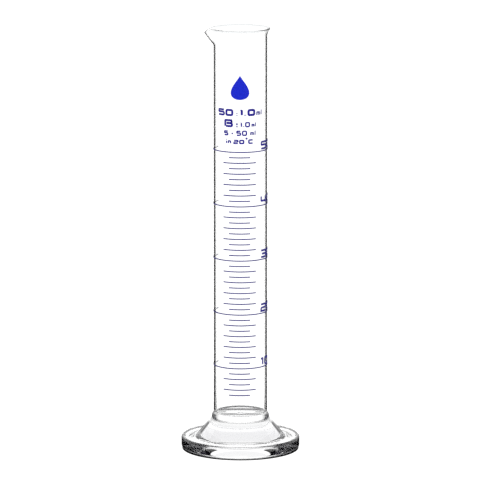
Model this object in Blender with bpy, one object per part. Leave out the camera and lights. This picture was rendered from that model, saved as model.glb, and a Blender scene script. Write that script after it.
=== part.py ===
"""A 50 ml graduated measuring cylinder of clear glass, with a printed blue enamel scale.

Metres, +Z up along the barrel. The origin is the centre of the foot's underside. The spout points
towards -X and the scale faces -Y.

The glass is three formed pieces, which the glassmaker fuses into one vessel: the barrel with its
dished bottom, the pressed foot, and the ring of glass that seals them together. Every printed mark
is a thin curved solid of its own, just outside the barrel.
"""

import math

import bmesh
import bpy
from mathutils import Vector

# Scale, in millilitres
FIRST_MARK = 5
LAST_MARK = 50
RING_EVERY = 10
LONG_EVERY = 2

# Barrel
HEIGHT = 0.1957
BARREL_RADIUS = 0.0124
WALL = 0.0007
BORE_RADIUS = BARREL_RADIUS - WALL
FLOOR_EDGE_Z = 0.0184
FLOOR_DEPTH = 0.0013
BOTTOM_DEPTH = 0.0048
BOTTOM_ARC_STEPS = 7

# Rim, flared outwards and rounded by fire polishing
RIM_RADIUS = WALL / 2
RIM_Z = HEIGHT - RIM_RADIUS
FLARE_Z = 0.1920
FLARE = 0.00125
RIM_ARC_STEPS = 4
FLARE_STEPS = 4

# Spout, where the wall bends outwards along an arc and then runs on straight, as a narrow beak at -X
SPOUT_Z = 0.1872
SPOUT_STEPS = 5
SPOUT_LEAN = math.radians(33)
SPOUT_BEND_LENGTH = 0.0015
SPOUT_DROP = 0.0009
SPOUT_HALF_ANGLE = math.radians(40)
SPOUT_TAPER = 2.5
SPOUT_TIP_ROUNDING = 0.05

# Gap that keeps the glass pieces apart where they are fused
SEAL_GAP = 0.0003

# Foot: a plate, hollow underneath, with a cone that carries the barrel
FOOT_RADIUS = 0.0273
PLATE_EDGE_Z = 0.0061
PLATE_LOWER_ROUNDING = 0.0018
PLATE_UPPER_ROUNDING = 0.0013
HOLLOW_RADIUS = 0.0245
HOLLOW_DEPTH = 0.0018
HOLLOW_STEPS = 5
CONE_FOOT_RADIUS = 0.0207
CONE_FOOT_Z = 0.0054
CONE_FOOT_ROUNDING = 0.0030
CONE_TOP_RADIUS = 0.0136
CONE_TOP_Z = 0.0139
CONE_TOP_ROUNDING = 0.0005
SEAT_STEPS = 4

# Seal ring between barrel and foot
SEAL_INNER_RADIUS = 0.0080
SEAL_RADIUS = 0.0132
SEAL_SHOULDER_Z = 0.0157
SEAL_TOP_Z = 0.0172
SEAL_LIP = 0.0001
SEAL_LOWER_ROUNDING = 0.0004
SEAL_SHOULDER_ROUNDING = 0.0005
SEAL_STEPS = 4

# Heights of the scale's first mark, and of one millilitre
FIRST_MARK_Z = 0.026942
MARK_PITCH = 0.0025151

# Enamel, as a thin layer that stands just clear of the glass
ENAMEL_GAP = 0.00006
ENAMEL_THICKNESS = 0.00014
ENAMEL_INNER = BARREL_RADIUS + ENAMEL_GAP
LINE_HEIGHT = 0.0004
LINE_STEP = math.radians(9)
SCALE_AZIMUTH = math.radians(-2)
SHORT_HALF_ANGLE = math.radians(23)
LONG_HALF_ANGLE = math.radians(36.5)
RING_START = math.radians(-120)
RING_END = math.radians(95)

# Numerals, drawn on a grid of cells: strokes in the even rows and columns, spaces in the odd ones
NUMERAL_START = math.radians(47.5)
NUMERAL_STROKE = 0.00085
NUMERAL_WIDTH = 0.0042
NUMERAL_HEIGHT = 0.0040
NUMERAL_SPACING = 0.0009
NUMERAL_ABOVE_RING = 0.0006
DIGITS = {
    "0": ("###", "#.#", "#.#", "#.#", "###"),
    "1": ("##.", ".#.", ".#.", ".#.", ".#."),
    "2": ("###", "..#", "###", "#..", "###"),
    "3": ("###", "..#", "###", "..#", "###"),
    "4": ("#.#", "#.#", "###", "..#", "..#"),
    "5": ("###", "#..", "###", "..#", "###"),
}
ONE_FLAG = 0.0009

# Drop mark above the scale
DROP_WIDTH = 0.0086
DROP_HEIGHT = 0.0112
DROP_CENTRE_Z = 0.1698
DROP_AZIMUTH = math.radians(-1)
DROP_POINT = 1.5
DROP_ROWS = 12
DROP_COLUMNS = 4

# Resolution of the turned pieces
BARREL_SEGMENTS = 64
FOOT_SEGMENTS = 56
ROUNDING_STEPS = 3
SMOOTH_ANGLE = math.radians(35)
MERGE = 1e-7


def glass(name, tint):
    material = bpy.data.materials.new(name)
    material.use_nodes = True
    shader = material.node_tree.nodes["Principled BSDF"]
    shader.inputs["Base Color"].default_value = (*tint, 1.0)
    shader.inputs["Roughness"].default_value = 0.02
    shader.inputs["Metallic"].default_value = 0.0
    shader.inputs["IOR"].default_value = 1.47
    shader.inputs["Transmission Weight"].default_value = 1.0
    return material


def enamel(name, colour):
    material = bpy.data.materials.new(name)
    material.use_nodes = True
    shader = material.node_tree.nodes["Principled BSDF"]
    shader.inputs["Base Color"].default_value = (*colour, 1.0)
    shader.inputs["Roughness"].default_value = 0.35
    shader.inputs["Metallic"].default_value = 0.0
    return material


def add_object(name, bm, material):
    """Turns the bmesh into a smooth-shaded object whose faces point outwards."""
    bmesh.ops.remove_doubles(bm, verts=bm.verts, dist=MERGE)
    bmesh.ops.recalc_face_normals(bm, faces=bm.faces)
    mesh = bpy.data.meshes.new(name)
    bm.to_mesh(mesh)
    bm.free()
    mesh.shade_smooth()
    mesh.set_sharp_from_angle(angle=SMOOTH_ANGLE)
    mesh.materials.append(material)
    piece = bpy.data.objects.new(name, mesh)
    bpy.context.scene.collection.objects.link(piece)
    return piece


def turned(outline, segments, closed):
    """Turns an outline of (radius, height) points once round the Z axis."""
    bm = bmesh.new()
    points = [bm.verts.new((radius, 0.0, height)) for radius, height in outline]
    ends = points[1:] + points[:1] if closed else points[1:]
    edges = [bm.edges.new(pair) for pair in zip(points, ends)]
    bmesh.ops.spin(
        bm,
        geom=points + edges,
        axis=(0, 0, 1),
        cent=(0, 0, 0),
        angle=math.tau,
        steps=segments,
        use_merge=True,
    )
    return bm


def steps_between(first, last, count):
    """Evenly spaced values from first to last, without first."""
    return [first + (last - first) * step / count for step in range(1, count + 1)]


def rounded(corners):
    """An outline through (radius, height, rounding) corners, with each rounding as an arc."""
    outline = []
    for index, (*place, rounding) in enumerate(corners):
        corner = Vector(place)
        if not rounding:
            outline.append(tuple(corner))
            continue
        back = (Vector(corners[index - 1][:2]) - corner).normalized()
        onward = (Vector(corners[index + 1][:2]) - corner).normalized()
        half = back.angle(onward) / 2
        centre = corner + (back + onward).normalized() * rounding / math.sin(half)
        reach = rounding / math.tan(half)
        first = corner + back * reach - centre
        last = corner + onward * reach - centre
        for step in range(ROUNDING_STEPS + 1):
            spoke = first.slerp(last, step / ROUNDING_STEPS).normalized() * rounding
            outline.append(tuple(centre + spoke))
    return outline


def dish_height(radius, dish_radius, depth):
    """Height of an elliptical dish that hangs depth below the floor edge at its centre."""
    return FLOOR_EDGE_Z - depth * math.sqrt(1 - (radius / dish_radius) ** 2)


def dish(dish_radius, depth, steps):
    """The dish's outline, from its centre to its edge."""
    angles = [math.pi / 2 * step / steps for step in range(steps + 1)]
    return [
        (dish_radius * math.sin(angle), FLOOR_EDGE_Z - depth * math.cos(angle))
        for angle in angles
    ]


def flare_at(height):
    """How far the wall leans out of the straight barrel at this height."""
    rise = max(0.0, height - FLARE_Z) / (RIM_Z - FLARE_Z)
    return FLARE * min(1.0, rise) ** 2


# ---------------------------------------------------------------- barrel

def barrel_outline():
    """One wall's outline: up the outside from the centre, over the rim and down to the floor."""
    heights = [SPOUT_Z]
    heights += steps_between(SPOUT_Z, FLARE_Z, SPOUT_STEPS)
    heights += steps_between(FLARE_Z, RIM_Z, FLARE_STEPS)
    outside = [(BARREL_RADIUS + flare_at(height), height) for height in heights]
    inside = [(BORE_RADIUS + flare_at(height), height) for height in heights]
    middle = BARREL_RADIUS + FLARE - RIM_RADIUS
    rim = []
    for step in range(1, RIM_ARC_STEPS):
        angle = math.pi * step / RIM_ARC_STEPS
        rim.append((middle + RIM_RADIUS * math.cos(angle), RIM_Z + RIM_RADIUS * math.sin(angle)))
    bottom = dish(BARREL_RADIUS, BOTTOM_DEPTH, BOTTOM_ARC_STEPS)
    floor = dish(BORE_RADIUS, FLOOR_DEPTH, BOTTOM_ARC_STEPS)
    return bottom + outside + rim + inside[::-1] + floor[::-1]


def spout_share(azimuth):
    """How much of the spout's full lean the wall has here, from 1 at its tip to 0 beside it."""
    away = math.hypot(azimuth / SPOUT_HALF_ANGLE, SPOUT_TIP_ROUNDING)
    return (max(0.0, 1 - away) / (1 - SPOUT_TIP_ROUNDING)) ** SPOUT_TAPER


def bent(length, lean):
    """Where a wall that leans ends up, this length above the spout's root, and its angle there."""
    arc = min(length, SPOUT_BEND_LENGTH)
    angle = lean * arc / SPOUT_BEND_LENGTH
    straight = length - arc
    out = arc * (1 - math.cos(angle)) / angle + straight * math.sin(angle)
    up = arc * math.sin(angle) / angle + straight * math.cos(angle)
    return out, up, angle


def pull_spout(bm):
    """Draws the rim out and down into a narrow beak at -X, at the wall's own thickness."""
    for vertex in bm.verts:
        x, y, z = vertex.co
        share = spout_share(math.atan2(y, -x))
        length = z - SPOUT_Z
        if length <= 0 or share <= 0:
            continue
        radius = math.hypot(x, y)
        across = radius - BARREL_RADIUS - flare_at(z) * share
        out, up, angle = bent(length, SPOUT_LEAN * share)
        moved = BARREL_RADIUS + out + across * math.cos(angle)
        drop = across * math.sin(angle) + SPOUT_DROP * share * length / (HEIGHT - SPOUT_Z)
        vertex.co = (x * moved / radius, y * moved / radius, SPOUT_Z + up - drop)


def make_barrel(material):
    bm = turned(barrel_outline(), BARREL_SEGMENTS, closed=False)
    pull_spout(bm)
    add_object("barrel", bm, material)


# ---------------------------------------------------------------- foot and seal

def hollow_outline():
    """The foot's hollow underside, from its middle to the ring that it stands on."""
    shares = [step / HOLLOW_STEPS for step in range(HOLLOW_STEPS + 1)]
    return [(HOLLOW_RADIUS * share, HOLLOW_DEPTH * (1 - share**2)) for share in shares]


def seat_outline():
    """The foot's dished seat, which follows the barrel's bottom at a small gap, middle first."""
    radius = BARREL_RADIUS + SEAL_GAP
    depth = BOTTOM_DEPTH + SEAL_GAP
    reach = radius * math.sqrt(1 - ((FLOOR_EDGE_Z - CONE_TOP_Z) / depth) ** 2)
    places = [0.0] + steps_between(0.0, reach, SEAT_STEPS)
    return [(place, dish_height(place, radius, depth)) for place in places]


def make_foot(material):
    seat = seat_outline()
    plate_and_cone = [
        (HOLLOW_RADIUS, 0.0, 0.0),
        (FOOT_RADIUS, 0.0, PLATE_LOWER_ROUNDING),
        (FOOT_RADIUS, PLATE_EDGE_Z, PLATE_UPPER_ROUNDING),
        (CONE_FOOT_RADIUS, CONE_FOOT_Z, CONE_FOOT_ROUNDING),
        (CONE_TOP_RADIUS, CONE_TOP_Z, CONE_TOP_ROUNDING),
        (*seat[-1], 0.0),
    ]
    outline = hollow_outline()[:-1] + rounded(plate_and_cone) + seat[-2::-1]
    add_object("foot", turned(outline, FOOT_SEGMENTS, closed=False), material)


def make_seal(material):
    """A wedge ring that fills the corner under the barrel's edge, with a rounded outer bead."""
    radius = BARREL_RADIUS + SEAL_GAP
    depth = BOTTOM_DEPTH + SEAL_GAP
    base_z = CONE_TOP_Z + SEAL_GAP
    lip_radius = radius * math.sqrt(1 - ((FLOOR_EDGE_Z - SEAL_TOP_Z) / depth) ** 2)
    places = [lip_radius] + steps_between(lip_radius, SEAL_INNER_RADIUS, SEAL_STEPS)
    under_barrel = [(place, dish_height(place, radius, depth)) for place in places]
    bead = [
        (SEAL_INNER_RADIUS, base_z, 0.0),
        (SEAL_RADIUS, base_z, SEAL_LOWER_ROUNDING),
        (SEAL_RADIUS, SEAL_SHOULDER_Z, SEAL_SHOULDER_ROUNDING),
        (lip_radius + SEAL_LIP, SEAL_TOP_Z, 0.0),
    ]
    outline = rounded(bead) + under_barrel
    add_object("fused_seal", turned(outline, BARREL_SEGMENTS, closed=True), material)


# ---------------------------------------------------------------- enamel

def height_of(millilitres):
    return FIRST_MARK_Z + MARK_PITCH * (millilitres - FIRST_MARK)


def on_barrel(azimuth, height, layer):
    """A point on the enamel's inner (0) or outer (1) side. Azimuth 0 is -Y and 90 degrees is +X."""
    radius = ENAMEL_INNER + ENAMEL_THICKNESS * layer
    return (radius * math.sin(azimuth), -radius * math.cos(azimuth), height)


def wrapped(faces):
    """A thin solid on the barrel, from faces whose corners are (arc length, height) on its surface."""
    bm = bmesh.new()
    for corners in faces:
        bm.faces.new([bm.verts.new((across, height, 0.0)) for across, height in corners])
    bmesh.ops.remove_doubles(bm, verts=bm.verts, dist=MERGE)
    raised = bmesh.ops.extrude_face_region(bm, geom=bm.faces[:], use_keep_orig=True)["geom"]
    tops = {item for item in raised if isinstance(item, bmesh.types.BMVert)}
    for vertex in bm.verts:
        across, height, _ = vertex.co
        vertex.co = on_barrel(across / BARREL_RADIUS, height, vertex in tops)
    return bm


def line_faces(start, end, height):
    """Cells of a horizontal line between two azimuths."""
    count = math.ceil((end - start) / LINE_STEP)
    stops = [BARREL_RADIUS * azimuth for azimuth in [start] + steps_between(start, end, count)]
    low = height - LINE_HEIGHT / 2
    high = height + LINE_HEIGHT / 2
    return [
        ((left, low), (right, low), (right, high), (left, high))
        for left, right in zip(stops, stops[1:])
    ]


def graduation_span(millilitres):
    """First and last azimuth of a graduation: a ring, a long mark or a short one."""
    if millilitres % RING_EVERY == 0:
        return RING_START, RING_END
    half = SHORT_HALF_ANGLE if millilitres % LONG_EVERY else LONG_HALF_ANGLE
    return SCALE_AZIMUTH - half, SCALE_AZIMUTH + half


def make_graduations(material):
    for millilitres in range(FIRST_MARK, LAST_MARK + 1):
        start, end = graduation_span(millilitres)
        faces = line_faces(start, end, height_of(millilitres))
        add_object(f"graduation_{millilitres:02d}", wrapped(faces), material)


def digit_faces(digit, left, base):
    """The filled cells of one digit, whose lower left corner is at (left, base)."""
    narrow = digit == "1"
    space = NUMERAL_WIDTH - 2 * NUMERAL_STROKE
    gap = (NUMERAL_HEIGHT - 3 * NUMERAL_STROKE) / 2
    columns = (ONE_FLAG, NUMERAL_STROKE, 0.0) if narrow else (NUMERAL_STROKE, space, NUMERAL_STROKE)
    rows = (NUMERAL_STROKE, gap, NUMERAL_STROKE, gap, NUMERAL_STROKE)
    faces = []
    top = base + NUMERAL_HEIGHT
    for row, cells in zip(rows, DIGITS[digit]):
        side = left
        for column, cell in zip(columns, cells):
            if cell == "#":
                right, low = side + column, top - row
                faces.append(((side, low), (right, low), (right, top), (side, top)))
            side += column
        top -= row
    return faces, sum(columns)


def make_numerals(material):
    """Two digits beside each ring, tens first."""
    for value in range(RING_EVERY, LAST_MARK + 1, RING_EVERY):
        base = height_of(value) + NUMERAL_ABOVE_RING
        left = BARREL_RADIUS * NUMERAL_START
        for digit, place in zip(str(value), ("tens", "units")):
            faces, width = digit_faces(digit, left, base)
            add_object(f"numeral_{value}_{place}", wrapped(faces), material)
            left += width + NUMERAL_SPACING


def drop_half_width(angle):
    """Half the drop's width, from its point (angle 0) to its round bottom (angle pi)."""
    widest = 2 * math.acos(math.sqrt(1 / (DROP_POINT + 2)))
    share = teardrop(angle) / teardrop(widest)
    return DROP_WIDTH / 2 * share


def teardrop(angle):
    return math.sin(angle) * math.sin(angle / 2) ** DROP_POINT


def make_drop_mark(material):
    """A plain drop of liquid, as a grid of cells between its two curved sides."""
    centre = BARREL_RADIUS * DROP_AZIMUTH
    rows = []
    for row in range(DROP_ROWS + 1):
        angle = math.pi * row / DROP_ROWS
        half = drop_half_width(angle)
        height = DROP_CENTRE_Z + DROP_HEIGHT / 2 * math.cos(angle)
        shares = [2 * column / DROP_COLUMNS - 1 for column in range(DROP_COLUMNS + 1)]
        rows.append([(centre + half * share, height) for share in shares])
    faces = []
    for upper, lower in zip(rows, rows[1:]):
        for column in range(DROP_COLUMNS):
            faces.append((lower[column], lower[column + 1], upper[column + 1], upper[column]))
    add_object("drop_mark", wrapped(faces), material)


def main():
    for piece in list(bpy.data.objects):
        bpy.data.objects.remove(piece, do_unlink=True)
    make_barrel(glass("barrel_glass", (0.97, 0.985, 0.98)))
    make_foot(glass("foot_glass", (0.96, 0.98, 0.975)))
    make_seal(glass("seal_glass", (0.95, 0.975, 0.97)))
    make_graduations(enamel("line_enamel", (0.10, 0.08, 0.42)))
    make_numerals(enamel("numeral_enamel", (0.03, 0.02, 0.38)))
    make_drop_mark(enamel("mark_enamel", (0.02, 0.05, 0.50)))


main()
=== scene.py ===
"""Looks of the 50 ml graduated cylinder: one fused glass vessel with a fired blue enamel scale.

Metres, +Z up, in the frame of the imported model. Azimuth 0 is -Y, which the scale faces, and 90
degrees is +X. The spout points towards -X.
"""

import math

import bmesh
import bpy
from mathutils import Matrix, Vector


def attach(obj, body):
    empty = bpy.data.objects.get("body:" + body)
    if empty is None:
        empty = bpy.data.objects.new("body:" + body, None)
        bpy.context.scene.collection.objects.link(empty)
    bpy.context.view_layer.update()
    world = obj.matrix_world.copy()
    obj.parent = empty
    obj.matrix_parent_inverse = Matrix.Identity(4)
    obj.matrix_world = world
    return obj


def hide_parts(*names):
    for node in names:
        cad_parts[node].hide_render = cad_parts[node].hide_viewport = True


# Barrel, rim and spout. The straight wall starts at STRAIGHT_Z, and the rounded corner of the bore's
# floor at FLOOR_EDGE_Z.
HEIGHT = 0.1957
BARREL_RADIUS = 0.0124
WALL = 0.0007
BORE_RADIUS = BARREL_RADIUS - WALL
STRAIGHT_Z = 0.0184
FLOOR_EDGE_Z = 0.0172
CORNER_ROUNDING = 0.0008
DISH_DEPTH = 0.0004
DIMPLE_HEIGHT = 0.00018
DIMPLE_RADIUS = 0.0014
RIM_SWELL = 0.0003
RIM_RADIUS = (WALL + RIM_SWELL) / 2
RIM_Z = HEIGHT - RIM_RADIUS
FLARE_Z = 0.1920
FLARE = 0.00125
SPOUT_Z = 0.1872
SPOUT_LEAN = math.radians(33)
SPOUT_BEND_LENGTH = 0.0015
SPOUT_DROP = 0.0009
SPOUT_HALF_ANGLE = math.radians(40)
SPOUT_TAPER = 2.5
SPOUT_TIP_ROUNDING = 0.05
SPOUT_LEAST_SHARE = 1e-6

# Foot and collar, as (radius, height, rounding) corners
HOLLOW_RADIUS = 0.0245
HOLLOW_DEPTH = 0.0018
FOOT_CORNERS = (
    (HOLLOW_RADIUS, 0.0, 0.0002),
    (0.0273, 0.0, 0.0016),
    (0.0273, 0.0061, 0.0013),
    (0.0207, 0.0054, 0.0030),
    (0.0136, 0.0139, 0.0005),
    (0.0128, 0.0142, 0.0002),
    (0.0132, 0.0146, 0.0003),
    (0.0132, 0.0157, 0.0006),
    (BARREL_RADIUS, 0.0169, 0.0009),
)

# Resolution of the glass
TURN_SEGMENTS = 256
HOLLOW_STEPS = 24
ROUNDING_STEPS = 8
BARREL_STEPS = 44
SPOUT_STEPS = 22
FLARE_STEPS = 14
RIM_STEPS = 16
CORNER_STEPS = 10
DISH_STEPS = 30

# Scale
FIRST_MARK_Z = 0.026942
MARK_PITCH = 0.0025151
FIRST_MARK = 5
LAST_MARK = 50
RING_EVERY = 10
LONG_EVERY = 2
ENAMEL_GAP = 0.00002
ENAMEL_THICKNESS = 0.00006
ENAMEL_INNER = BARREL_RADIUS + ENAMEL_GAP
ENAMEL_CELL = 0.0004
ENAMEL_MERGE = 1e-7
ENAMEL_SHARP = math.radians(35)
MITRE_LIMIT = 0.4
LINE_HEIGHT = 0.0005
SCALE_AZIMUTH = math.radians(-2)
SHORT_HALF_ANGLE = math.radians(23)
LONG_HALF_ANGLE = math.radians(36.5)
RING_START = math.radians(-120)
RING_END = math.radians(95)
NUMERAL_START = math.radians(47.5)
NUMERAL_STROKE = 0.00092
NUMERAL_WIDTH = 0.0050
NUMERAL_HEIGHT = 0.0040
NUMERAL_SPACING = 0.0009
NUMERAL_ABOVE_RING = 0.0006
PRINT_SPACING = 0.13

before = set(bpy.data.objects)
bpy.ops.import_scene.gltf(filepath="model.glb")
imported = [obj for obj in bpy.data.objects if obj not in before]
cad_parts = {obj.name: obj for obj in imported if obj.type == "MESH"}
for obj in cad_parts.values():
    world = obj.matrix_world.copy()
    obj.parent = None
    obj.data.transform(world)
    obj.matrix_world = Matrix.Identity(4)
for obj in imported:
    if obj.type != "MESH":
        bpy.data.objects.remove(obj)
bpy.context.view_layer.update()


def steps_between(first, last, count):
    """Evenly spaced values from first to last, without first."""
    return [first + (last - first) * step / count for step in range(1, count + 1)]


def link(name, mesh, material):
    """A new object of the mesh, with the material on it."""
    mesh.materials.append(material)
    piece = bpy.data.objects.new(name, mesh)
    bpy.context.scene.collection.objects.link(piece)
    return piece


# ---------------------------------------------------------------- glass vessel

def arc(before, corner, after, rounding):
    """The points of a rounded corner, between the places before and after it."""
    back = (before - corner).normalized()
    onward = (after - corner).normalized()
    half = back.angle(onward) / 2
    centre = corner + (back + onward).normalized() * rounding / math.sin(half)
    reach = rounding / math.tan(half)
    first = corner + back * reach - centre
    last = corner + onward * reach - centre
    shares = [step / ROUNDING_STEPS for step in range(ROUNDING_STEPS + 1)]
    return [centre + first.slerp(last, share).normalized() * rounding for share in shares]


def rounded(corners, before, after):
    """An outline through (radius, height, rounding) corners, between the points before and after."""
    places = [Vector(before)] + [Vector(corner[:2]) for corner in corners] + [Vector(after)]
    outline = []
    for index, (*_, rounding) in enumerate(corners, 1):
        outline += [tuple(point) for point in arc(*places[index - 1:index + 2], rounding)]
    return outline


def flare_at(height):
    """How far the wall leans out of the straight barrel at this height."""
    rise = max(0.0, height - FLARE_Z) / (RIM_Z - FLARE_Z)
    return FLARE * min(1.0, rise) ** 2


def swell_at(height):
    """How much thicker than the barrel the wall is, as it runs into the fire-polished rim."""
    rise = max(0.0, height - FLARE_Z) / (RIM_Z - FLARE_Z)
    return RIM_SWELL * min(1.0, rise) ** 4


def floor_outline():
    """The bottom of the bore: a rounded corner, a shallow dish and the dimple where the tube closed."""
    corner_z = FLOOR_EDGE_Z - CORNER_ROUNDING
    outline = []
    for step in range(CORNER_STEPS):
        angle = math.pi / 2 * step / CORNER_STEPS
        reach = CORNER_ROUNDING * (1 - math.cos(angle))
        outline.append((BORE_RADIUS - reach, FLOOR_EDGE_Z - CORNER_ROUNDING * math.sin(angle)))
    dish_radius = BORE_RADIUS - CORNER_ROUNDING
    for step in range(DISH_STEPS):
        radius = dish_radius * (1 - step / DISH_STEPS)
        dimple = DIMPLE_HEIGHT * math.exp(-((radius / DIMPLE_RADIUS) ** 2))
        dish = DISH_DEPTH * (1 - (radius / dish_radius) ** 2)
        outline.append((radius, corner_z - dish + dimple))
    return outline + [(0.0, corner_z - DISH_DEPTH + DIMPLE_HEIGHT)]


def vessel_outline():
    """Round the whole section: underside, foot, collar, barrel, rim, bore and floor."""
    shares = [step / HOLLOW_STEPS for step in range(HOLLOW_STEPS)]
    hollow = [(HOLLOW_RADIUS * share, HOLLOW_DEPTH * (1 - share**2)) for share in shares]
    barrel_start = (BARREL_RADIUS, STRAIGHT_Z + 2 * WALL)
    foot = rounded(FOOT_CORNERS, hollow[-1], barrel_start)
    straight = [STRAIGHT_Z + WALL * step for step in (1, 2, 3)]
    straight += steps_between(straight[-1], SPOUT_Z - WALL, BARREL_STEPS)
    heights = straight + [SPOUT_Z]
    heights += steps_between(SPOUT_Z, FLARE_Z, SPOUT_STEPS)
    heights += steps_between(FLARE_Z, RIM_Z, FLARE_STEPS)
    outside = [(BARREL_RADIUS + flare_at(height), height) for height in heights]
    inside = [(BORE_RADIUS + flare_at(height) - swell_at(height), height) for height in heights]
    middle = BARREL_RADIUS + FLARE - RIM_RADIUS
    rim = []
    for step in range(1, RIM_STEPS):
        angle = math.pi * step / RIM_STEPS
        rim.append((middle + RIM_RADIUS * math.cos(angle), RIM_Z + RIM_RADIUS * math.sin(angle)))
    return hollow + foot + outside + rim + inside[::-1] + floor_outline()


def spout_share(azimuth):
    """How much of the spout's full lean the wall has here, from 1 at its tip to 0 beside it."""
    away = math.hypot(azimuth / SPOUT_HALF_ANGLE, SPOUT_TIP_ROUNDING)
    return (max(0.0, 1 - away) / (1 - SPOUT_TIP_ROUNDING)) ** SPOUT_TAPER


def bent(length, lean):
    """Where a wall that leans ends up, this length above the spout's root, and its angle there."""
    bend = min(length, SPOUT_BEND_LENGTH)
    angle = lean * bend / SPOUT_BEND_LENGTH
    straight = length - bend
    out = bend * (1 - math.cos(angle)) / angle + straight * math.sin(angle)
    up = bend * math.sin(angle) / angle + straight * math.cos(angle)
    return out, up, angle


def pulled(x, y, z):
    """The point after the spout is drawn out and down at -X."""
    share = spout_share(math.atan2(y, -x))
    length = z - SPOUT_Z
    if length <= 0 or share <= SPOUT_LEAST_SHARE:
        return x, y, z
    radius = math.hypot(x, y)
    across = radius - BARREL_RADIUS - flare_at(z) * share
    out, up, angle = bent(length, SPOUT_LEAN * share)
    moved = BARREL_RADIUS + out + across * math.cos(angle)
    drop = across * math.sin(angle) + SPOUT_DROP * share * length / (HEIGHT - SPOUT_Z)
    return x * moved / radius, y * moved / radius, SPOUT_Z + up - drop


def turned_mesh(name, outline, segments):
    """A closed mesh from an outline that starts and ends on the axis."""
    vertices = []
    rings = []
    for radius, height in outline:
        if radius == 0.0:
            rings.append([len(vertices)] * segments)
            vertices.append((0.0, 0.0, height))
            continue
        start = len(vertices)
        for segment in range(segments):
            azimuth = math.tau * segment / segments
            x, y = -radius * math.cos(azimuth), -radius * math.sin(azimuth)
            vertices.append(pulled(x, y, height))
        rings.append(list(range(start, start + segments)))
    faces = []
    for lower, upper in zip(rings, rings[1:]):
        for left in range(segments):
            right = (left + 1) % segments
            corners = (lower[left], lower[right], upper[right], upper[left])
            faces.append(tuple(dict.fromkeys(corners)))
    mesh = bpy.data.meshes.new(name)
    mesh.from_pydata(vertices, [], faces)
    mesh.shade_smooth()
    return mesh


# ---------------------------------------------------------------- enamel

def height_of(millilitres):
    """Where the surface of this much liquid stands in the straight bore."""
    return FIRST_MARK_Z + MARK_PITCH * (millilitres - FIRST_MARK)


def softened(corners, closed):
    """A path through (x, y, rounding) corners, with each rounding as an arc."""
    places = [Vector(corner[:2]) for corner in corners]
    path = []
    for index, (*_, rounding) in enumerate(corners):
        is_end = not closed and index in (0, len(corners) - 1)
        if is_end or not rounding:
            path.append(places[index])
        else:
            after = places[(index + 1) % len(places)]
            path += arc(places[index - 1], places[index], after, rounding)
    return path


def subdivided(path, closed):
    """The path in steps no longer than one cell, so that it follows the barrel's round."""
    ends = path[1:] + path[:1] if closed else path[1:]
    fine = []
    for start, end in zip(path, ends):
        count = max(1, math.ceil((end - start).length / ENAMEL_CELL))
        fine += [start.lerp(end, step / count) for step in range(count)]
    return fine if closed else fine + [path[-1]]


def stroke_faces(corners, width, closed=False):
    """Cells of a stroke of even width along a path."""
    path = subdivided(softened(corners, closed), closed)
    count = len(path)
    sides = []
    for index, point in enumerate(path):
        before = path[index - 1] if closed or index else point
        after = path[(index + 1) % count] if closed or index < count - 1 else point
        back = (point - before).normalized() if point != before else (after - point).normalized()
        onward = (after - point).normalized() if point != after else back
        mitre = Vector((-back.y - onward.y, back.x + onward.x)).normalized()
        reach = width / 2 / max(MITRE_LIMIT, mitre.dot(Vector((-onward.y, onward.x))))
        sides.append((point + mitre * reach, point - mitre * reach))
    ends = sides[1:] + sides[:1] if closed else sides[1:]
    pairs = zip(sides, ends)
    return [(left, right, far_right, far_left) for (left, right), (far_left, far_right) in pairs]


def on_barrel(azimuth, height, layer):
    """A point on the enamel's inner (0) or outer (1) side."""
    radius = ENAMEL_INNER + ENAMEL_THICKNESS * layer
    return (radius * math.sin(azimuth), -radius * math.cos(azimuth), height)


def printed_mesh(name, faces):
    """A thin solid on the barrel, from faces whose corners are (arc length, height) on its surface."""
    bm = bmesh.new()
    for corners in faces:
        bm.faces.new([bm.verts.new((across, height, 0.0)) for across, height in corners])
    bmesh.ops.remove_doubles(bm, verts=bm.verts, dist=ENAMEL_MERGE)
    raised = bmesh.ops.extrude_face_region(bm, geom=bm.faces[:], use_keep_orig=True)["geom"]
    tops = {item for item in raised if isinstance(item, bmesh.types.BMVert)}
    for vertex in bm.verts:
        across, height, _ = vertex.co
        vertex.co = on_barrel(across / BARREL_RADIUS, height, vertex in tops)
    bmesh.ops.recalc_face_normals(bm, faces=bm.faces)
    mesh = bpy.data.meshes.new(name)
    bm.to_mesh(mesh)
    bm.free()
    mesh.shade_smooth()
    mesh.set_sharp_from_angle(angle=ENAMEL_SHARP)
    return mesh


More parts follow.
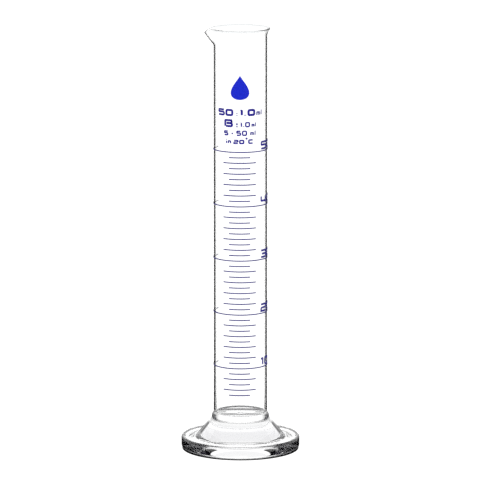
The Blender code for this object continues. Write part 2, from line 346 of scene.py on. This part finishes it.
# Glyphs of a bold, wide, squared type. Each is drawn in a box of its own width and height 1, as
# strokes through (x, y, rounding) corners, where x and y run from 0 to 1 between the stroke's centre
# lines. A glyph is (width / height, strokes); a stroke is (corners, closed). A glyph of no width is as
# wide as its stroke.
SOFT = 0.24
TIGHT = 0.10
GLYPHS = {
    "0": (1.0, [
        (((0, 0, SOFT), (0, 1, SOFT), (1, 1, SOFT), (1, 0, SOFT)), True),
    ]),
    "1": (0.42, [
        (((0, 0.86, 0), (1, 1, TIGHT), (1, 0, 0)), False),
    ]),
    "2": (0.95, [
        (((0, 1, 0), (1, 1, SOFT), (1, 0.5, SOFT), (0, 0.5, SOFT), (0, 0, 0), (1, 0, 0)), False),
    ]),
    "3": (0.95, [
        (((0, 1, 0), (1, 1, SOFT), (1, 0, SOFT), (0, 0, 0)), False),
        (((0.15, 0.5, 0), (0.9, 0.5, 0)), False),
    ]),
    "4": (1.0, [
        (((0.0, 1, 0), (0, 0.32, TIGHT), (0.85, 0.32, 0)), False),
        (((0.85, 1, 0), (0.85, 0, 0)), False),
    ]),
    "5": (0.95, [
        (((1, 1, 0), (0.05, 1, TIGHT), (0, 0.56, TIGHT), (1, 0.56, SOFT), (1, 0, SOFT), (0, 0, 0)), False),
    ]),
    "B": (1.0, [
        (((0, 0, TIGHT), (0, 1, TIGHT), (0.95, 1, SOFT), (0.95, 0.53, SOFT), (0.2, 0.53, 0)), False),
        (((0.2, 0.5, 0), (1, 0.5, SOFT), (1, 0, SOFT), (0.1, 0, 0)), False),
    ]),
    "C": (0.95, [
        (((1, 1, 0), (0, 1, SOFT), (0, 0, SOFT), (1, 0, 0)), False),
    ]),
    "m": (0.75, [
        (((0, 0, 0), (0, 0.62, TIGHT), (1, 0.62, SOFT), (1, 0, 0)), False),
        (((0.5, 0, 0), (0.5, 0.55, 0)), False),
    ]),
    "n": (0.6, [
        (((0, 0, 0), (0, 0.62, TIGHT), (1, 0.62, SOFT), (1, 0, 0)), False),
    ]),
    "l": (0.0, [
        (((0, 0, 0), (0, 1.05, 0)), False),
    ]),
    "i": (0.0, [
        (((0, 0, 0), (0, 0.62, 0)), False),
        (((0, 0.9, 0), (0, 1.1, 0)), False),
    ]),
    ".": (0.0, [
        (((0, -0.08, 0), (0, 0.1, 0)), False),
    ]),
    ":": (0.0, [
        (((0, -0.04, 0), (0, 0.14, 0)), False),
        (((0, 0.5, 0), (0, 0.68, 0)), False),
    ]),
    "-": (0.42, [
        (((0, 0.45, 0), (1, 0.45, 0)), False),
    ]),
    "+": (0.45, [
        (((0, 0.62, 0), (1, 0.62, 0)), False),
        (((0.5, 0.36, 0), (0.5, 0.88, 0)), False),
        (((0, 0.05, 0), (1, 0.05, 0)), False),
    ]),
    "o": (0.3, [
        (((0, 1.16, 0.1), (0, 1.46, 0.1), (1, 1.46, 0.1), (1, 1.16, 0.1)), True),
    ]),
}


def glyph_places(text, left, width, spacing, stroke):
    """Each character of a text with its left side and its own width, from the width of a full letter."""
    for character in text:
        own_width = max(GLYPHS[character][0] * width, stroke)
        yield character, left, own_width
        left += own_width + spacing


def glyph_faces(character, left, base, height, width, stroke):
    """Faces of one glyph, whose lower left corner is at (left, base)."""
    across = width - stroke
    rise = height - stroke
    faces = []
    for corners, closed in GLYPHS[character][1]:
        placed = [
            (left + stroke / 2 + x * across, base + stroke / 2 + y * rise, rounding * rise)
            for x, y, rounding in corners
        ]
        faces += stroke_faces(placed, stroke, closed)
    return faces


def make_print(name, faces, material, slot, *nodes):
    """A printed piece on the glass, which replaces the CAD nodes if it has any."""
    piece = link(name, printed_mesh(name, faces), material)
    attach(piece, "root")
    if nodes:
        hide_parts(*nodes)


def make_graduations(material):
    for millilitres in range(FIRST_MARK, LAST_MARK + 1):
        height = height_of(millilitres)
        if millilitres % RING_EVERY == 0:
            start, end = RING_START, RING_END
        else:
            half = SHORT_HALF_ANGLE if millilitres % LONG_EVERY else LONG_HALF_ANGLE
            start, end = SCALE_AZIMUTH - half, SCALE_AZIMUTH + half
        path = ((BARREL_RADIUS * start, height, 0), (BARREL_RADIUS * end, height, 0))
        faces = stroke_faces(path, LINE_HEIGHT)
        node = f"graduation_{millilitres:02d}"
        make_print(f"mark_{millilitres:02d}", faces, material, "line_enamel", node)


def make_numerals(material):
    start = BARREL_RADIUS * NUMERAL_START
    for value in range(RING_EVERY, LAST_MARK + 1, RING_EVERY):
        base = height_of(value) + NUMERAL_ABOVE_RING
        digits = glyph_places(str(value), start, NUMERAL_WIDTH, NUMERAL_SPACING, NUMERAL_STROKE)
        for (digit, left, width), place in zip(digits, ("tens", "units")):
            faces = glyph_faces(digit, left, base, NUMERAL_HEIGHT, width, NUMERAL_STROKE)
            node = f"numeral_{value}_{place}"
            make_print(f"digit_{value}_{place}", faces, material, "numeral_enamel", node)


# Lines of small print above the scale: the line's name, the height of its base, and its runs. A run is
# its text, the azimuth of its left side and the width of a full letter in degrees, its height and its
# stroke. PRINT_SPACING is the gap between two letters of a run, in widths of a full letter.
INSCRIPTIONS = (
    ("capacity_print", 0.1567, (
        ("5", -53.7, 20.0, 0.0033, 0.00092),
        ("0", -33.1, 18.0, 0.0033, 0.00100),
        (":", -9.7, 18.6, 0.0025, 0.00090),
        ("1.0", -2.2, 17.8, 0.0033, 0.00106),
        ("ml", 35.3, 14.2, 0.0028, 0.00057),
    )),
    ("class_print", 0.1516, (
        ("B", -36.0, 20.4, 0.0037, 0.00098),
        ("+", -10.4, 13.3, 0.0025, 0.00048),
        ("1.0", -1.0, 11.0, 0.0025, 0.00067),
        ("ml", 23.7, 9.9, 0.0022, 0.00047),
    )),
    ("range_print", 0.1477, (
        ("5", -37.0, 11.5, 0.0024, 0.00067),
        ("-", -20.5, 14.8, 0.0024, 0.00064),
        ("50", -9.1, 11.2, 0.0025, 0.00067),
        ("ml", 20.7, 12.0, 0.0024, 0.00050),
    )),
    ("temperature_print", 0.1439, (
        ("in", -32.0, 13.0, 0.0024, 0.00062),
        ("2", -15.1, 11.8, 0.0021, 0.00060),
        ("0", -2.9, 11.3, 0.0021, 0.00071),
        ("o", 10.6, 15.0, 0.0022, 0.00042),
        ("C", 16.3, 12.5, 0.0022, 0.00071),
    )),
)


def make_inscriptions(material):
    for name, base, runs in INSCRIPTIONS:
        faces = []
        for text, azimuth, degrees, height, stroke in runs:
            start = BARREL_RADIUS * math.radians(azimuth)
            letter = BARREL_RADIUS * math.radians(degrees)
            places = glyph_places(text, start, letter, PRINT_SPACING * letter, stroke)
            for character, left, width in places:
                faces += glyph_faces(character, left, base, height, width, stroke)
        make_print(name, faces, material, "numeral_enamel")


# ---------------------------------------------------------------- materials

# The glass. Its draw lines are a noise drawn out along Z.
GLASS_IOR = 1.47
DRAW_SCALE = 220.0
DRAW_STRETCH = 0.04
DRAW_DETAIL = 2.0
DRAW_RANGE = (0.3, 0.7)
DRAW_TINT = (0.994, 0.997, 0.996)
DRAW_RELIEF = (0.005, 0.00001)

# Painted shade: where the glass's colour is darkened, and how dark. The shades are painted in for the
# dark surroundings that the glass would show, which the studio lacks, and for long ways of light through
# the glass. Each RISE, FALL and REACH is the pair of heights or radii between which a shade sets in or
# ends, and each GRAZING such a pair of Layer Weight values. The plate's shade sets in at the
# PLATE_GRAZING value for its height within PLATE_SLANT, over PLATE_FADE.
RIM_RISE = (RIM_Z - 0.0004, RIM_Z + 0.0002)
RIM_SHADE = (0.70, 0.72, 0.73)
CORNER_RISE = (0.010, 0.012)
CORNER_FALL = (FLOOR_EDGE_Z - 0.0003, FLOOR_EDGE_Z)
CORNER_REACH = (BORE_RADIUS - CORNER_ROUNDING, BORE_RADIUS - CORNER_ROUNDING + 0.0003)
CORNER_SHADE = (0.02, 0.02, 0.022)
SEAL_RISE = (0.0132, 0.0142)
SEAL_FALL = (0.0164, 0.0176)
SEAL_GRAZING = (0.28, 0.50)
SEAL_SHADE = (0.003, 0.003, 0.004)
CONE_RISE = (0.0058, 0.0078)
CONE_FALL = (0.0122, 0.0139)
CONE_BODY_SHADE = (0.90, 0.90, 0.915)
CONE_GRAZING = (0.60, 0.66)
CONE_EDGE_SHADE = (0.0002, 0.0002, 0.0003)
PLATE_REACH = (0.0262, 0.0266)
PLATE_FALL = (0.0056, 0.0060)
PLATE_SLANT = (0.0002, 0.0042)
PLATE_GRAZING = (0.34, 0.14)
PLATE_FADE = (0.0, 0.10)
PLATE_SHADE = (0.040, 0.040, 0.043)

# The enamel. A colour is (deep, pale), between which the grain varies it.
GRAIN_SCALE = 2500.0
GRAIN_STRETCH = 1.0
GRAIN_DETAIL = 3.0
GRAIN_RANGE = (0.35, 0.75)
GRAIN_RELIEF = (0.2, 0.00002)
ENAMEL_ROUGHNESS = (0.38, 0.56)
ENAMEL_GLOSS = 0.2
LINE_BLUE = ((0.009, 0.005, 0.15), (0.022, 0.015, 0.22))
NUMERAL_BLUE = ((0.008, 0.003, 0.21), (0.014, 0.006, 0.27))
DROP_BLUE = ((0.0, 0.008, 0.46), (0.003, 0.016, 0.54))

WHITE = (1, 1, 1)


def new_material(name):
    material = bpy.data.materials.new(name)
    material.use_nodes = True
    nodes = material.node_tree.nodes
    return material, nodes, material.node_tree.links, nodes["Principled BSDF"]


def noise_field(nodes, links, scale, stretch, detail):
    """A noise over the piece's own coordinates, drawn out along Z when stretch is below 1."""
    place = nodes.new("ShaderNodeTexCoord")
    mapping = nodes.new("ShaderNodeMapping")
    mapping.inputs["Scale"].default_value = (1, 1, stretch)
    noise = nodes.new("ShaderNodeTexNoise")
    noise.inputs["Scale"].default_value = scale
    noise.inputs["Detail"].default_value = detail
    links.new(place.outputs["Object"], mapping.inputs["Vector"])
    links.new(mapping.outputs["Vector"], noise.inputs["Vector"])
    return noise.outputs["Fac"]


def colour_ramp(nodes, links, field, span, first, second):
    """A colour that runs from first to second while the field crosses the span."""
    ramp = nodes.new("ShaderNodeValToRGB")
    for element, position, colour in zip(ramp.color_ramp.elements, span, (first, second)):
        element.position = position
        element.color = (*colour, 1)
    links.new(field, ramp.inputs["Fac"])
    return ramp.outputs["Color"]


def height_and_radius(nodes, links):
    """Fields of the height above the table and the distance from the axis."""
    place = nodes.new("ShaderNodeTexCoord")
    split = nodes.new("ShaderNodeSeparateXYZ")
    links.new(place.outputs["Object"], split.inputs["Vector"])
    flat = nodes.new("ShaderNodeVectorMath")
    flat.operation = "MULTIPLY"
    flat.inputs[1].default_value = (1, 1, 0)
    links.new(place.outputs["Object"], flat.inputs[0])
    length = nodes.new("ShaderNodeVectorMath")
    length.operation = "LENGTH"
    links.new(flat.outputs["Vector"], length.inputs[0])
    return split.outputs["Z"], length.outputs["Value"]


def value_range(nodes, links, field, span, low, high):
    """A value that runs from low to high while the field crosses the span, and stays there beyond it."""
    remap = nodes.new("ShaderNodeMapRange")
    remap.inputs["From Min"].default_value = span[0]
    remap.inputs["From Max"].default_value = span[1]
    remap.inputs["To Min"].default_value = low
    remap.inputs["To Max"].default_value = high
    links.new(field, remap.inputs["Value"])
    return remap.outputs["Result"]


def rising(nodes, links, field, span):
    return value_range(nodes, links, field, span, 0.0, 1.0)


def falling(nodes, links, field, span):
    return value_range(nodes, links, field, span, 1.0, 0.0)


def combined(nodes, links, operation, *fields):
    """The fields joined into one, from first to last, by a maths operation."""
    whole = fields[0]
    for field in fields[1:]:
        maths = nodes.new("ShaderNodeMath")
        maths.operation = operation
        links.new(whole, maths.inputs[0])
        links.new(field, maths.inputs[1])
        whole = maths.outputs["Value"]
    return whole


def shaded(nodes, links, colour, shade, *amounts):
    """The colour, drawn towards a shade by the product of the amounts at each point."""
    mix = nodes.new("ShaderNodeMix")
    mix.data_type = "RGBA"
    factor, first, second = mix.inputs[0], mix.inputs[6], mix.inputs[7]
    second.default_value = (*shade, 1)
    links.new(combined(nodes, links, "MULTIPLY", *amounts), factor)
    links.new(colour, first)
    return mix.outputs[2]


def relief(nodes, links, field, strength, distance):
    bump = nodes.new("ShaderNodeBump")
    bump.inputs["Strength"].default_value = strength
    bump.inputs["Distance"].default_value = distance
    links.new(field, bump.inputs["Height"])
    return bump.outputs["Normal"]


def glass_tint(nodes, links, drawn):
    """Nearly clear, with the draw lines, and painted shade in the rim, floor corner, seal, cone and plate.
    """
    height, radius = height_and_radius(nodes, links)
    grazing = nodes.new("ShaderNodeLayerWeight").outputs["Facing"]
    outside = rising(nodes, links, radius, (BORE_RADIUS, BARREL_RADIUS))
    in_bore = falling(nodes, links, radius, (BORE_RADIUS, BARREL_RADIUS))
    tint = colour_ramp(nodes, links, drawn, DRAW_RANGE, DRAW_TINT, WHITE)

    # Painted shade: the rim a little darker.
    rim = rising(nodes, links, height, RIM_RISE)
    tint = shaded(nodes, links, tint, RIM_SHADE, rim)

    # Painted shade: a dark ring in the corner of the bore's floor.
    above_start = rising(nodes, links, height, CORNER_RISE)
    below_end = falling(nodes, links, height, CORNER_FALL)
    off_axis = rising(nodes, links, radius, CORNER_REACH)
    tint = shaded(nodes, links, tint, CORNER_SHADE, above_start, below_end, in_bore, off_axis)

    # Painted shade: the seal's outside dark where it is seen at a grazing angle.
    above_start = rising(nodes, links, height, SEAL_RISE)
    below_end = falling(nodes, links, height, SEAL_FALL)
    seal_edge = rising(nodes, links, grazing, SEAL_GRAZING)
    tint = shaded(nodes, links, tint, SEAL_SHADE, above_start, below_end, outside, seal_edge)

    # Painted shade: the cone's outside a little grey, and dark where it is seen at a grazing angle.
    above_start = rising(nodes, links, height, CONE_RISE)
    below_end = falling(nodes, links, height, CONE_FALL)
    cone_edge = rising(nodes, links, grazing, CONE_GRAZING)
    tint = shaded(nodes, links, tint, CONE_BODY_SHADE, above_start, below_end, outside)
    tint = shaded(nodes, links, tint, CONE_EDGE_SHADE, above_start, below_end, outside, cone_edge)

    # Painted shade: the plate's edge dark where it is seen at a grazing angle, from a value that slants
    # with height.
    on_edge = rising(nodes, links, radius, PLATE_REACH)
    below_end = falling(nodes, links, height, PLATE_FALL)
    edge_start = value_range(nodes, links, height, PLATE_SLANT, *PLATE_GRAZING)
    past_start = combined(nodes, links, "SUBTRACT", grazing, edge_start)
    plate_edge = rising(nodes, links, past_start, PLATE_FADE)
    return shaded(nodes, links, tint, PLATE_SHADE, on_edge, below_end, plate_edge)


def make_glass():
    """Drawn borosilicate glass: clear, with a breath of tint, faint draw lines along the barrel and
    painted shade.
    """
    material, nodes, links, shader = new_material("fused_glass")
    drawn = noise_field(nodes, links, DRAW_SCALE, DRAW_STRETCH, DRAW_DETAIL)
    links.new(glass_tint(nodes, links, drawn), shader.inputs["Base Color"])
    links.new(relief(nodes, links, drawn, *DRAW_RELIEF), shader.inputs["Normal"])
    shader.inputs["Transmission Weight"].default_value = 1.0
    shader.inputs["IOR"].default_value = GLASS_IOR
    shader.inputs["Roughness"].default_value = 0.0
    return material


def make_enamel(name, deep, pale):
    """Fired enamel: nearly opaque, a little uneven in depth and gloss."""
    material, nodes, links, shader = new_material(name)
    grain = noise_field(nodes, links, GRAIN_SCALE, GRAIN_STRETCH, GRAIN_DETAIL)
    links.new(colour_ramp(nodes, links, grain, GRAIN_RANGE, deep, pale), shader.inputs["Base Color"])
    roughness = value_range(nodes, links, grain, (0.0, 1.0), *ENAMEL_ROUGHNESS)
    links.new(roughness, shader.inputs["Roughness"])
    links.new(relief(nodes, links, grain, *GRAIN_RELIEF), shader.inputs["Normal"])
    shader.inputs["Specular IOR Level"].default_value = ENAMEL_GLOSS
    return material


def make_emitter(name, strength):
    """An even white glow, or black at strength 0."""
    material = bpy.data.materials.new(name)
    material.use_nodes = True
    nodes, links = material.node_tree.nodes, material.node_tree.links
    nodes.clear()
    glow = nodes.new("ShaderNodeEmission")
    glow.inputs["Color"].default_value = (*WHITE, 1)
    glow.inputs["Strength"].default_value = strength
    output = nodes.new("ShaderNodeOutputMaterial")
    links.new(glow.outputs[0], output.inputs["Surface"])
    return material


# ---------------------------------------------------------------- studio

CAMERA_PLACE = Vector((-0.0002, -1.8941, 0.4433))
CAMERA_TARGET = Vector((-0.0002, 0.0, 0.0974))
CAMERA_LENS = 314.27
CAMERA_SENSOR = 36
CAMERA_CLIP = 80

# The white dome behind the glass: the sky, and a panel to each side of it. Azimuths are from straight
# behind the object, as the camera sees it, and elevations from the level of the table.
SKY_RADIUS = 20.0
SKY_LOW = math.radians(4)
SKY_HIGH = math.radians(40)
SKY_END = math.radians(37)
SIDE_END = math.radians(80)
SKY_STRENGTH = 1.0
SIDE_STRENGTH = 1.12
DOME_COLUMNS = 24
DOME_ROWS = 12

# The band of the dome at table level, below the sky: the sweep straight behind the object, a gap to
# each side where the band starts a little higher, and the horizon all round the rest
SWEEP_LOW = math.radians(-2)
GAP_LOW = math.radians(0.7)
GAP_START = math.radians(29)
SWEEP_STRENGTH = 1.22
HORIZON_COLUMNS = 72
BAND_ROWS = 2

# The table. It is white, with dark wedges behind the object and a dark ring near the foot that only
# the glass sees, and a thin black ring under the foot's front, a painted shadow where the foot meets
# the table, which the camera sees. The wedges end beyond the floor's corners.
FLOOR_REACH = 20.0
FLOOR_DROP = 0.00005
TABLE_LIFT = 0.0001
WEDGE_START = math.radians(17)
WEDGE_END = math.radians(48)
WEDGE_REACH = 28.8
NEAR_START = 0.0272
NEAR_END = 0.07
CONTACT_START = math.radians(80)
CONTACT_NEAR = 0.0258
CONTACT_FAR = 0.0269
CONTACT_SPREAD = 0.0013
TABLE_COLUMNS = 96

# Soft lights as (name, place, size, energy), the room that the glass sees past the dome, and the white
# backdrop that the camera sees
LIGHTS = (
    ("key", (-0.7, -1.0, 0.75), 0.6, 9.0),
    ("fill", (0.8, -1.0, 0.5), 0.6, 6.0),
)
LIGHT_TARGET = Vector((0, 0, 0.1))
ROOM_COLOUR = (0.022, 0.020, 0.030)
BACKDROP_STRENGTH = 1.1


def make_camera():
    data = bpy.data.cameras.new("camera")
    data.lens = CAMERA_LENS
    data.sensor_width = CAMERA_SENSOR
    data.clip_end = CAMERA_CLIP
    camera = bpy.data.objects.new("camera", data)
    bpy.context.scene.collection.objects.link(camera)
    camera.location = CAMERA_PLACE
    camera.rotation_mode = "QUATERNION"
    camera.rotation_quaternion = (CAMERA_TARGET - CAMERA_PLACE).to_track_quat("-Z", "Y")
    bpy.context.scene.camera = camera
    return camera


def make_turntable(camera):
    """The studio stands on this and stays level, with its front towards the camera."""
    turntable = bpy.data.objects.new("turntable", None)
    bpy.context.scene.collection.objects.link(turntable)
    track = turntable.constraints.new("LOCKED_TRACK")
    track.target = camera
    track.track_axis = "TRACK_NEGATIVE_Y"
    track.lock_axis = "LOCK_Z"
    return turntable


def stage_mesh(name, shape, material, turntable, seen=False):
    """A piece of the studio from its (vertices, faces), which only the glass sees unless it is seen."""
    vertices, faces = shape
    mesh = bpy.data.meshes.new(name)
    mesh.from_pydata(vertices, [], faces)
    piece = link(name, mesh, material)
    piece.parent = turntable
    if not seen:
        piece.visible_camera = False
        piece.visible_shadow = False
        piece.visible_diffuse = False


def dome_patch(start, end, low, high, columns=DOME_COLUMNS, rows=DOME_ROWS):
    """Vertices and faces of the dome between two azimuths and two elevations."""
    vertices = []
    for row in range(rows + 1):
        elevation = low + (high - low) * row / rows
        flat = SKY_RADIUS * math.cos(elevation)
        rise = SKY_RADIUS * math.sin(elevation)
        for column in range(columns + 1):
            azimuth = start + (end - start) * column / columns
            vertices.append((flat * math.sin(azimuth), flat * math.cos(azimuth), rise))
    faces = []
    for row in range(rows):
        for column in range(columns):
            first = row * (columns + 1) + column
            faces.append((first, first + 1, first + columns + 2, first + columns + 1))
    return vertices, faces


def table_sector(start, end, near, far, spread=0.0):
    """A sector of the table between two azimuths and radii, which reaches further by spread in front."""
    vertices = []
    for column in range(TABLE_COLUMNS + 1):
        azimuth = start + (end - start) * column / TABLE_COLUMNS
        reach = far + spread * max(0.0, -math.cos(azimuth))
        for radius in (near, reach):
            vertices.append((radius * math.sin(azimuth), radius * math.cos(azimuth), TABLE_LIFT))
    faces = [(2 * c, 2 * c + 1, 2 * c + 3, 2 * c + 2) for c in range(TABLE_COLUMNS)]
    return vertices, faces


def make_dome(turntable):
    sky_white = make_emitter("sky_white", SKY_STRENGTH)
    side_white = make_emitter("side_white", SIDE_STRENGTH)
    sweep_white = make_emitter("sweep_white", SWEEP_STRENGTH)
    stage_mesh("sky", dome_patch(-SKY_END, SKY_END, SKY_LOW, SKY_HIGH), sky_white, turntable)
    sweep = dome_patch(-GAP_START, GAP_START, SWEEP_LOW, SKY_LOW)
    stage_mesh("sweep", sweep, sweep_white, turntable)
    horizon = dome_patch(WEDGE_END, math.tau - WEDGE_END, SWEEP_LOW, SKY_LOW, HORIZON_COLUMNS, BAND_ROWS)
    stage_mesh("horizon", horizon, sweep_white, turntable)
    for side, sign in (("left", -1), ("right", 1)):
        gap_start, gap_end = sign * GAP_START, sign * WEDGE_END
        gap = dome_patch(gap_start, gap_end, GAP_LOW, SKY_LOW, DOME_COLUMNS, BAND_ROWS)
        stage_mesh(f"gap_{side}", gap, sweep_white, turntable)
        panel = dome_patch(sign * SKY_END, sign * SIDE_END, SKY_LOW, SKY_HIGH)
        stage_mesh(f"side_{side}", panel, side_white, turntable)


def make_table(turntable):
    black = make_emitter("room_and_contact_shadow_black", 0.0)
    near = table_sector(WEDGE_START, math.tau - WEDGE_START, NEAR_START, NEAR_END)
    stage_mesh("dark_near_foot", near, black, turntable)
    for side, sign in (("left", -1), ("right", 1)):
        wedge = table_sector(sign * WEDGE_START, sign * WEDGE_END, NEAR_END, WEDGE_REACH)
        stage_mesh(f"dark_{side}", wedge, black, turntable)
    # The thin black ring under the foot's front is a painted shadow where the foot meets the table.
    contact_end = math.tau - CONTACT_START
    contact_shadow = table_sector(CONTACT_START, contact_end, CONTACT_NEAR, CONTACT_FAR, CONTACT_SPREAD)
    stage_mesh("contact_shadow", contact_shadow, black, turntable, seen=True)
    signs = ((-1, -1), (1, -1), (1, 1), (-1, 1))
    corners = [(x * FLOOR_REACH, y * FLOOR_REACH, -FLOOR_DROP) for x, y in signs]
    floor = corners, [(0, 1, 2, 3)]
    stage_mesh("floor", floor, make_emitter("floor_white", SWEEP_STRENGTH), None, seen=True)


def make_lights(turntable):
    for name, place, size, energy in LIGHTS:
        data = bpy.data.lights.new(name, "AREA")
        data.size = size
        data.energy = energy
        light = bpy.data.objects.new(name, data)
        bpy.context.scene.collection.objects.link(light)
        light.parent = turntable
        light.location = place
        light.rotation_mode = "QUATERNION"
        light.rotation_quaternion = (LIGHT_TARGET - Vector(place)).to_track_quat("-Z", "Y")
        light.visible_camera = False
        light.visible_glossy = False
        light.visible_transmission = False


def make_world():
    """White behind the object for the camera, and a dark room for everything that the glass shows."""
    world = bpy.data.worlds.new("studio")
    bpy.context.scene.world = world
    world.use_nodes = True
    nodes, links = world.node_tree.nodes, world.node_tree.links
    nodes.clear()
    rays = nodes.new("ShaderNodeLightPath")
    room = nodes.new("ShaderNodeBackground")
    room.inputs["Color"].default_value = (*ROOM_COLOUR, 1)
    backdrop = nodes.new("ShaderNodeBackground")
    backdrop.inputs["Color"].default_value = (*WHITE, 1)
    backdrop.inputs["Strength"].default_value = BACKDROP_STRENGTH
    mix = nodes.new("ShaderNodeMixShader")
    output = nodes.new("ShaderNodeOutputWorld")
    links.new(rays.outputs["Is Camera Ray"], mix.inputs[0])
    links.new(room.outputs[0], mix.inputs[1])
    links.new(backdrop.outputs[0], mix.inputs[2])
    links.new(mix.outputs[0], output.inputs["Surface"])


def set_light_paths():
    """Enough bounces for light to pass every wall of the glass."""
    scene = bpy.context.scene
    scene.view_settings.view_transform = "Standard"
    scene.cycles.max_bounces = 32
    scene.cycles.transmission_bounces = 32
    scene.cycles.glossy_bounces = 16
    scene.cycles.transparent_max_bounces = 16
    scene.cycles.use_denoising = True


# ---------------------------------------------------------------- scene

def make_vessel():
    mesh = turned_mesh("glass_body", vessel_outline(), TURN_SEGMENTS)
    vessel = link("glass_body", mesh, make_glass())
    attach(vessel, "root")
    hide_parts("barrel", "foot", "fused_seal")


def make_scale():
    make_graduations(make_enamel("line_print", *LINE_BLUE))
    numeral_enamel = make_enamel("numeral_print", *NUMERAL_BLUE)
    make_numerals(numeral_enamel)
    make_inscriptions(numeral_enamel)


def paint_drop():
    """The drop is the CAD's own piece, with enamel in its object slot."""
    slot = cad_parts["drop_mark"].material_slots[0]
    slot.link = "OBJECT"
    slot.material = make_enamel("mark_print", *DROP_BLUE)


def main():
    make_vessel()
    make_scale()
    paint_drop()
    turntable = make_turntable(make_camera())
    make_dome(turntable)
    make_table(turntable)
    make_lights(turntable)
    make_world()
    set_light_paths()


main()
